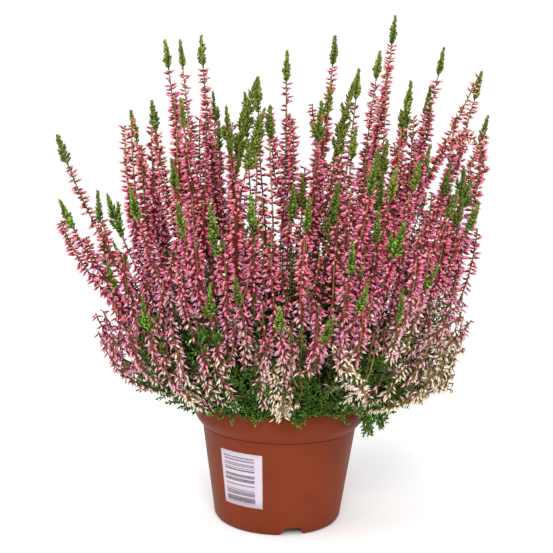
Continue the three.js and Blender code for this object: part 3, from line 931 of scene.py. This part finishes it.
def turned(name, profile, segments):
    """A closed solid of revolution from an outline whose two ends lie on the axis."""
    angles = np.arange(segments) / segments * 2 * np.pi
    rings = [(radius * math.cos(a), radius * math.sin(a), z) for radius, z in profile[1:-1] for a in angles]
    points = [(0, 0, profile[0][1]), *rings, (0, 0, profile[-1][1])]
    top = len(points) - 1 - segments
    faces = []
    for i in range(segments):
        j = (i + 1) % segments
        faces.append((0, 1 + j, 1 + i))
        for low in range(1, top, segments):
            faces.append((low + i, low + j, low + segments + j, low + segments + i))
        faces.append((top + i, top + j, top + segments))
    mesh = bpy.data.meshes.new(name)
    mesh.from_pydata(points, [], faces)
    return mesh


def arc(centre, radius, start, end, steps):
    """Points on an arc in the plane of an outline, from one angle in degrees to another."""
    angles = np.radians(np.linspace(start, end, steps))
    return [(centre[0] + radius * math.cos(a), centre[1] + radius * math.sin(a)) for a in angles]


def pot_profile():
    ring_inside, round_inside = WALL_FOOT_RADIUS - FOOT_RING_WIDTH, WALL_FOOT_RADIUS - FOOT_ROUND
    wall_levels = np.linspace(FOOT_ROUND, BAND_FOOT - 0.3 * MM, 16)
    band_levels = np.linspace(BAND_FOOT + 0.6 * MM, BAND_FOOT + BAND_ROUND, 9)
    return [
        (0, FLOOR_UNDERSIDE),
        (ring_inside - UNDERSIDE_CHAMFER, FLOOR_UNDERSIDE),
        (ring_inside, FLOOR_UNDERSIDE - UNDERSIDE_CHAMFER),
        (ring_inside, RING_CHAMFER),
        (ring_inside + RING_CHAMFER, 0),
        (round_inside, 0),
        *arc((round_inside, FOOT_ROUND), FOOT_ROUND, -70, -10, 4),
        *((outer_radius(z), z) for z in wall_levels),
        (WALL_TOP_RADIUS - GROOVE_DEPTH, BAND_FOOT),
        (WALL_TOP_RADIUS + 0.5 * MM, BAND_FOOT + 0.25 * MM),
        *((outer_radius(z), z) for z in band_levels),
        *arc((RIM_RADIUS - LIP_ROUND, POT_HEIGHT - LIP_ROUND), LIP_ROUND, 0, 180, 7),
        *((inner_radius(z), z) for z in band_levels[::-1]),
        (WALL_TOP_RADIUS - WALL_THICKNESS, BAND_FOOT - 1 * MM),
        (inner_radius(FLOOR_TOP), FLOOR_TOP + FLOOR_CHAMFER),
        (inner_radius(FLOOR_TOP) - FLOOR_CHAMFER, FLOOR_TOP),
        (0, FLOOR_TOP),
    ]


def notch_cutter(degrees):
    """A wedge across the foot ring, wider at the ground."""
    wide, narrow, low = NOTCH_FOOT_WIDTH / 2, NOTCH_TOP_WIDTH / 2, -1 * MM
    outline = [(-wide, low), (wide, low), (wide, 0), (narrow, NOTCH_HEIGHT)]
    outline += [(-narrow, NOTCH_HEIGHT), (-wide, 0)]
    near, far = WALL_FOOT_RADIUS - 2 * FOOT_RING_WIDTH, WALL_FOOT_RADIUS + FOOT_RING_WIDTH
    points = [(x, y, z) for x in (near, far) for y, z in outline]
    count = len(outline)
    sides = [(i, (i + 1) % count, count + (i + 1) % count, count + i) for i in range(count)]
    mesh = bpy.data.meshes.new("notch")
    mesh.from_pydata(points, [], [tuple(reversed(range(count))), tuple(range(count, 2 * count)), *sides])
    cutter = bpy.data.objects.new("notch", mesh)
    cutter.rotation_euler.z = math.radians(degrees)
    return cutter


def drain_cutter(degrees):
    profile = [(0, 0), (DRAIN_RADIUS, 0), (DRAIN_RADIUS, DRAIN_LENGTH), (0, DRAIN_LENGTH)]
    cutter = bpy.data.objects.new("drain", turned("drain", profile, DRAIN_SEGMENTS))
    cutter.location = polar(DRAIN_CIRCLE, degrees, 0)
    return cutter


def cut(piece, cutters):
    """Cuts solids out of a piece and leaves nothing of them in the scene."""
    tools = bpy.data.collections.new("cutters")
    for cutter in cutters:
        tools.objects.link(cutter)
    bpy.context.scene.collection.children.link(tools)
    boolean = piece.modifiers.new("cut", "BOOLEAN")
    boolean.operation = "DIFFERENCE"
    boolean.operand_type = "COLLECTION"
    boolean.collection = tools
    boolean.solver = "EXACT"
    evaluated = piece.evaluated_get(bpy.context.evaluated_depsgraph_get())
    done = bpy.data.meshes.new_from_object(evaluated)
    piece.modifiers.clear()
    piece.data = done
    for cutter in cutters:
        bpy.data.objects.remove(cutter)
    bpy.data.collections.remove(tools)


def make_pot(material):
    solid = turned("pot_moulding", pot_profile(), POT_SEGMENTS)
    piece = dressed("pot_moulding", solid, material, "pot", "pot")
    cutters = [notch_cutter(NOTCH_FIRST_ANGLE + i * 360 / NOTCH_COUNT) for i in range(NOTCH_COUNT)]
    cutters += [drain_cutter(i * 360 / DRAIN_COUNT) for i in range(DRAIN_COUNT)]
    cut(piece, cutters)
    smooth(piece.data)
    piece.data.set_sharp_from_angle(angle=math.radians(SHARP_ANGLE))


# ---- Printed panel ----

PANEL_ANGLES = (-138, -102)
PANEL_HEIGHTS = (17 * MM, 51 * MM)
PANEL_COLUMNS = 18
PANEL_ROWS = 6

# How far its front and back stand off the wall
PANEL_LIFTS = (0.12 * MM, 0.02 * MM)


def make_panel(material):
    """A thin patch that lies on the pot's wall, with a front, a back and four edges."""
    columns, rows = np.linspace(0, 1, PANEL_COLUMNS + 1), np.linspace(0, 1, PANEL_ROWS + 1)
    spots = [(u, v) for v in rows for u in columns]
    points = []
    for lift in PANEL_LIFTS:
        for u, v in spots:
            z = lerp(*PANEL_HEIGHTS, v)
            points.append(polar(outer_radius(z) + lift, lerp(*PANEL_ANGLES, u), z))
    grid = np.arange(len(spots)).reshape(len(rows), len(columns))
    corners = (grid[:-1, :-1], grid[:-1, 1:], grid[1:, 1:], grid[1:, :-1])
    front = np.stack([corner.ravel() for corner in corners], 1)
    rim = np.array([*grid[0], *grid[1:, -1], *grid[-1, -2::-1], *grid[-2:0:-1, 0]])
    after = np.roll(rim, -1)
    edges = np.stack([rim, rim + grid.size, after + grid.size, after], 1)
    quads = np.concatenate([front, front[:, [0, 3, 2, 1]] + grid.size, edges])
    faces = quads[:, [0, 1, 2, 0, 2, 3]].reshape(-1, 3)
    places = np.concatenate([spots, lerp(0.002, 0.998, np.array(spots))])
    heap = Heap()
    heap.add(np.array(points), faces, places[faces])
    heap.piece("printed_panel", material, "pot")


# ---- Soil ----

SOIL_RINGS = 44
SOIL_SEGMENTS = 150
CRUMB = 1.1 * MM
CALM_EDGE = 3 * MM
BUMP_WAVES = 26


def bumps(x, y, rng):
    """Smooth seeded unevenness between about -1 and 1."""
    height = np.zeros_like(x)
    for _ in range(BUMP_WAVES):
        direction = rng.uniform(0, 2 * np.pi)
        size = rng.uniform(2.2, 9) * MM
        phase = rng.uniform(0, 2 * np.pi)
        height += np.sin((x * math.cos(direction) + y * math.sin(direction)) * 2 * np.pi / size + phase)
    return height / math.sqrt(BUMP_WAVES) / 1.4


def make_soil(material):
    """The soil as a closed body with a crumbly top, which fills the pot."""
    rng = draws(90)
    edge = inner_radius(SOIL_EDGE) - CLEARANCE
    foot_edge = inner_radius(FLOOR_TOP) - CLEARANCE - FLOOR_CHAMFER
    foot = FLOOR_TOP + CLEARANCE
    profile = [(0, foot), (foot_edge, foot), (outer_radius(BAND_FOOT) - 2 * MM, BAND_FOOT)]
    profile += [(edge * (1 - k / SOIL_RINGS), SOIL_EDGE) for k in range(SOIL_RINGS)]
    mesh = turned("soil_crumbs", [*profile, (0, SOIL_LEVEL)], SOIL_SEGMENTS)
    co = np.zeros(len(mesh.vertices) * 3, np.float32)
    mesh.vertices.foreach_get("co", co)
    co = co.reshape(-1, 3)
    x, y, z = co.T
    radius = np.hypot(x, y)
    top = z > SOIL_EDGE - 0.1 * MM
    dome = lerp(SOIL_LEVEL, SOIL_EDGE, (radius / edge) ** 2)
    crumbs = (bumps(x, y, rng) * 0.6 + rng.uniform(-0.5, 0.5, len(x))) * CRUMB
    calm = np.clip((edge - radius) / CALM_EDGE, 0.15, 1)
    co[:, 2] = np.where(top, dome + crumbs * calm, z)
    mesh.vertices.foreach_set("co", co.ravel())
    mesh.update()
    dressed("soil_crumbs", mesh, material, "soil", "soil")


# ---- Materials ----


def linear(code):
    """A colour like d4587f as the linear values that Blender takes."""
    values = [int(code[i : i + 2], 16) / 255 for i in (0, 2, 4)]
    return [v / 12.92 if v <= 0.04045 else ((v + 0.055) / 1.055) ** 2.4 for v in values] + [1.0]


class Nodes:
    """Adds nodes to one material. A socket given as a value is linked, and anything else is set."""

    def __init__(self, name):
        self.material = bpy.data.materials.new(name)
        self.material.use_nodes = True
        self.tree = self.material.node_tree
        self.shader = self.tree.nodes["Principled BSDF"]

    def put(self, socket, value):
        if isinstance(value, bpy.types.NodeSocket):
            self.tree.links.new(value, socket)
        else:
            socket.default_value = linear(value) if isinstance(value, str) else value

    def add(self, kind, values=None, **settings):
        made = self.tree.nodes.new("ShaderNode" + kind)
        for name, value in settings.items():
            setattr(made, name, value)
        for key, value in (values or {}).items():
            self.put(made.inputs[key], value)
        return made

    def math(self, operation, a, b=0.0):
        return self.add("Math", {0: a, 1: b}, operation=operation).outputs[0]

    def times(self, a, b):
        return self.math("MULTIPLY", a, b)

    def away(self, value, middle):
        """How far a value lies from the middle, to either side."""
        return self.math("ABSOLUTE", self.math("SUBTRACT", value, middle))

    def step(self, value, low, high, to_low=0.0, to_high=1.0):
        """A smooth step from low to high."""
        return self.add("MapRange", {
            "Value": value, "From Min": low, "From Max": high, "To Min": to_low, "To Max": to_high,
        }, interpolation_type="SMOOTHSTEP").outputs[0]

    def mix(self, factor, a, b):
        return self.add("Mix", {0: factor, 6: a, 7: b}, data_type="RGBA").outputs[2]

    def ramp(self, factor, *stops):
        """Colours at places from 0 to 1, given as place and code in turn."""
        made = self.add("ValToRGB", {0: factor})
        elements = made.color_ramp.elements
        while len(elements) < len(stops) // 2:
            elements.new(0.5)
        for element, place, code in zip(elements, stops[::2], stops[1::2]):
            element.position = place
            element.color = linear(code)
        return made.outputs[0]

    def noise(self, vector, scale, detail, roughness=0.55):
        values = {"Vector": vector, "Scale": scale, "Detail": detail, "Roughness": roughness}
        return self.add("TexNoise", values).outputs[0]

    def shade(self, **values):
        for name, value in values.items():
            self.put(self.shader.inputs[name.replace("_", " ")], value)

    def bump(self, height, strength, distance):
        made = self.add("Bump", {"Height": height, "Strength": strength, "Distance": distance})
        self.put(self.shader.inputs["Normal"], made.outputs[0])

    def spot(self):
        """The place on the object itself."""
        return self.add("TexCoord").outputs["Object"]

    def flat_spot(self):
        """The place across and up on the UV map."""
        return self.add("SeparateXYZ", {0: self.add("UVMap", uv_map=UV_MAP).outputs[0]}).outputs[:2]

    def atlas(self):
        """How far along the atlas a column lies, and the place across and up in that column."""
        along, up = self.flat_spot()
        scaled = self.times(along, float(CELLS))
        cell = self.math("FLOOR", scaled)
        column = self.math("DIVIDE", self.math("ADD", cell, 0.5), float(CELLS))
        return column, self.math("SUBTRACT", scaled, cell), up


def bud_material():
    """Closed sepals: a thin brown stalk, a deep base that is partly painted shade, a pink to cream body, and
    paler sepal edges and tips that are partly painted highlights.
    """
    n = Nodes("heather_bud")
    column, across, up = n.atlas()
    body = n.ramp(
        column, 0.03, "ded4b4", 0.09, "e2d2ba", 0.16, "dcc0b4", 0.22, "d8aaaa", 0.28, "d0969e",
        0.34, "d28a9a", 0.41, "cc7aa4", 0.47, "d8768c", 0.53, "c26496", 0.59, "d65a78", 0.66, "be4c7e",
        0.72, "d04664", 0.78, "b83c64", 0.84, "c83e54", 0.91, "ce5456", 0.97, "dc8476",
    )
    # The deep base is the buds' own darker calyx, darkened further as painted shade between the buds
    deep_base_and_shade = n.ramp(column, 0.0, "84643e", 0.25, "84383a", 0.5, "801e26", 0.8, "70141c", 1.0, "5a0c14")
    # The pale sepal edges and pale tips below are partly the buds' own paler colour and partly painted
    # highlights
    quarter = n.math("FRACT", n.math("ADD", n.times(across, 4.0), 0.5))
    edge = n.step(n.away(quarter, 0.5), 0.16, 0.02)
    colour = n.mix(n.step(up, 0.28, 0.62), deep_base_and_shade, body)
    pale = n.mix(0.72, body, "fdeeea")
    colour = n.mix(n.times(edge, n.step(up, 0.3, 0.6, 0.0, 0.8)), colour, pale)
    colour = n.mix(n.step(up, 0.62, 1.0, 0.0, 0.7), colour, pale)
    colour = n.mix(n.step(up, 0.24, 0.12), colour, "42180f")
    n.shade(Base_Color=colour, Roughness=n.step(up, 0.1, 0.7, 0.66, 0.44), Specular_IOR_Level=0.15)
    n.bump(edge, 0.25, 0.15 * MM)
    return n.material


def leaf_material():
    """Scale leaves, bracts and bark, in columns of one atlas."""
    n = Nodes("heather_leaf")
    column, across, up = n.atlas()
    body = n.ramp(
        column, 0.03, "1a340d", 0.1, "295012", 0.16, "3c6c1a", 0.22, "649330", 0.28, "3e501a",
        0.34, "4b5b1d", 0.41, "5b6825", 0.47, "767a30", 0.53, "8c3824", 0.72, "566026", 0.78, "5a562c",
        0.84, "7a6240", 0.91, "a07c54", 0.97, "4a3622",
    )
    vein = n.step(n.away(across, 0.5), 0.12, 0.0)
    tip = n.mix(0.4, body, "b9c25a")
    base = n.mix(0.6, body, "14240a")
    colour = n.mix(n.step(up, 0.0, 0.5), base, body)
    colour = n.mix(n.step(up, 0.72, 1.0, 0.0, 0.55), colour, tip)
    colour = n.mix(n.times(vein, 0.25), colour, tip)
    n.shade(Base_Color=colour, Roughness=n.step(up, 0.0, 1.0, 0.66, 0.5), Specular_IOR_Level=0.14)
    n.bump(vein, 0.2, 0.1 * MM)
    return n.material


def pot_material():
    """Brown moulded plastic: faint flow clouds, painted shade in the groove under the band, and fine dusty
    scuffs.
    """
    n = Nodes("pot_plastic")
    spot = n.spot()
    height = n.add("SeparateXYZ", {0: spot}).outputs[2]
    clouds, specks = n.noise(spot, 28.0, 4.0), n.noise(spot, 900.0, 2.0)
    colour = n.ramp(clouds, 0.25, "672914", 0.5, "6f2e17", 0.75, "77341b")
    # Painted shade: darker along the groove under the band
    groove_shade = n.step(n.away(height, BAND_FOOT), 0.9 * MM, 0.0, 0.0, 0.55)
    colour = n.mix(groove_shade, colour, "4a2415")
    dust = n.times(n.step(specks, 0.62, 0.75), n.step(clouds, 0.45, 0.7, 0.1, 0.5))
    colour = n.mix(dust, colour, "5d4031")
    n.shade(Base_Color=colour, Roughness=n.step(clouds, 0.3, 0.7, 0.42, 0.55), Specular_IOR_Level=0.08)
    n.bump(n.noise(spot, 420.0, 3.0), 0.06, 0.3 * MM)
    return n.material


def soil_material():
    n = Nodes("peat")
    grains = n.noise(n.spot(), 520.0, 5.0, 0.7)
    colour = n.ramp(grains, 0.3, "140d09", 0.52, "2c1d14", 0.66, "4a3323", 0.8, "7a5d42")
    n.shade(Base_Color=colour, Roughness=n.step(grains, 0.2, 0.8, 1.0, 0.8))
    n.bump(grains, 0.8, 0.8 * MM)
    return n.material


def panel_material():
    """Pale print with plain grey stripes of uneven width and tone, and a bare margin."""
    n = Nodes("pale_print")
    across, up = n.flat_spot()
    row = n.math("FLOOR", n.times(up, 64.0))
    chance = n.add("TexWhiteNoise", {"W": row}, noise_dimensions="1D").outputs[0]
    stripes = n.step(chance, 0.25, 0.6)
    inside = n.times(n.step(across, 0.08, 0.1), n.step(across, 0.84, 0.82))
    inside = n.times(inside, n.times(n.step(up, 0.05, 0.06), n.step(up, 0.92, 0.91)))
    wear = n.noise(n.spot(), 700.0, 3.0)
    dark = n.times(stripes, n.step(wear, 0.3, 0.6, 0.7, 0.9))
    colour = n.mix(n.times(inside, dark), "bdb1bd", "3c343b")
    n.shade(Base_Color=colour, Roughness=n.step(wear, 0.3, 0.7, 0.45, 0.6))
    return n.material


# ---- Stage, light and camera ----

IMAGE_SIZE = 553
FOCAL_PIXELS = 981
CAMERA_DISTANCE = 600 * MM
CAMERA_ELEVATION = 7.6
CAMERA_ROLL = 1.45
AIM = Vector((-4 * MM, 0, 150 * MM))
SENSOR = 36
WORLD_LIGHT = 1.06
FLOOR_REACH = 40.0

# Name, place, size and power of each lamp
LAMPS = [("key", (0.05, -1.2, 0.9), 0.5, 12), ("fill", (-0.7, -0.5, 1.2), 0.8, 8)]


def make_floor():
    n = Nodes("pale_floor")
    colour = n.ramp(n.noise(n.spot(), 3.0, 2.0), 0.3, "f8f8f8", 0.7, "fafafa")
    n.shade(Base_Color=colour, Roughness=0.9)
    mesh = bpy.data.meshes.new("floor")
    corners = [(x * FLOOR_REACH, y * FLOOR_REACH, 0) for x, y in ((-1, -1), (1, -1), (1, 1), (-1, 1))]
    mesh.from_pydata(corners, [], [(0, 1, 2, 3)])
    mesh.materials.append(n.material)
    floor = in_scene("floor", mesh)


def aim(made, place, heading, roll=0.0):
    """Puts a lamp or camera in its place, turned to this heading and rolled round it."""
    made.location = place
    made.rotation_mode = "QUATERNION"
    made.rotation_quaternion = heading.to_track_quat("-Z", "Y") @ Quaternion((0, 0, 1), math.radians(roll))


def make_light(name, place, size, power):
    light = bpy.data.lights.new(name, "AREA")
    light.size = size
    light.energy = power
    aim(in_scene(name, light), place, AIM - Vector(place))


def make_world():
    world = bpy.data.worlds.new("studio")
    world.use_nodes = True
    background = world.node_tree.nodes["Background"]
    background.inputs["Color"].default_value = (1.0, 1.0, 1.0, 1.0)
    background.inputs["Strength"].default_value = WORLD_LIGHT
    bpy.context.scene.world = world
    bpy.context.scene.view_settings.view_transform = "Standard"


def make_camera():
    data = bpy.data.cameras.new("camera")
    data.sensor_width = SENSOR
    data.lens = SENSOR * FOCAL_PIXELS / IMAGE_SIZE
    camera = in_scene("camera", data)
    elevation = math.radians(CAMERA_ELEVATION)
    back = Vector((0, -math.cos(elevation), math.sin(elevation)))
    aim(camera, AIM + back * CAMERA_DISTANCE, -back, CAMERA_ROLL)
    bpy.context.scene.camera = camera


# ---- The whole plant ----

make_camera()
make_world()
make_floor()
for lamp in LAMPS:
    make_light(*lamp)

buds = bud_material()
leaves = leaf_material()
make_pot(pot_material())
make_panel(panel_material())
make_soil(soil_material())
for order, (name, record) in enumerate(BRANCHES.items()):
    make_branch(order, name, *record, buds, leaves)
for index in range(BUNCH_COUNT):
    make_bunch(index, leaves)
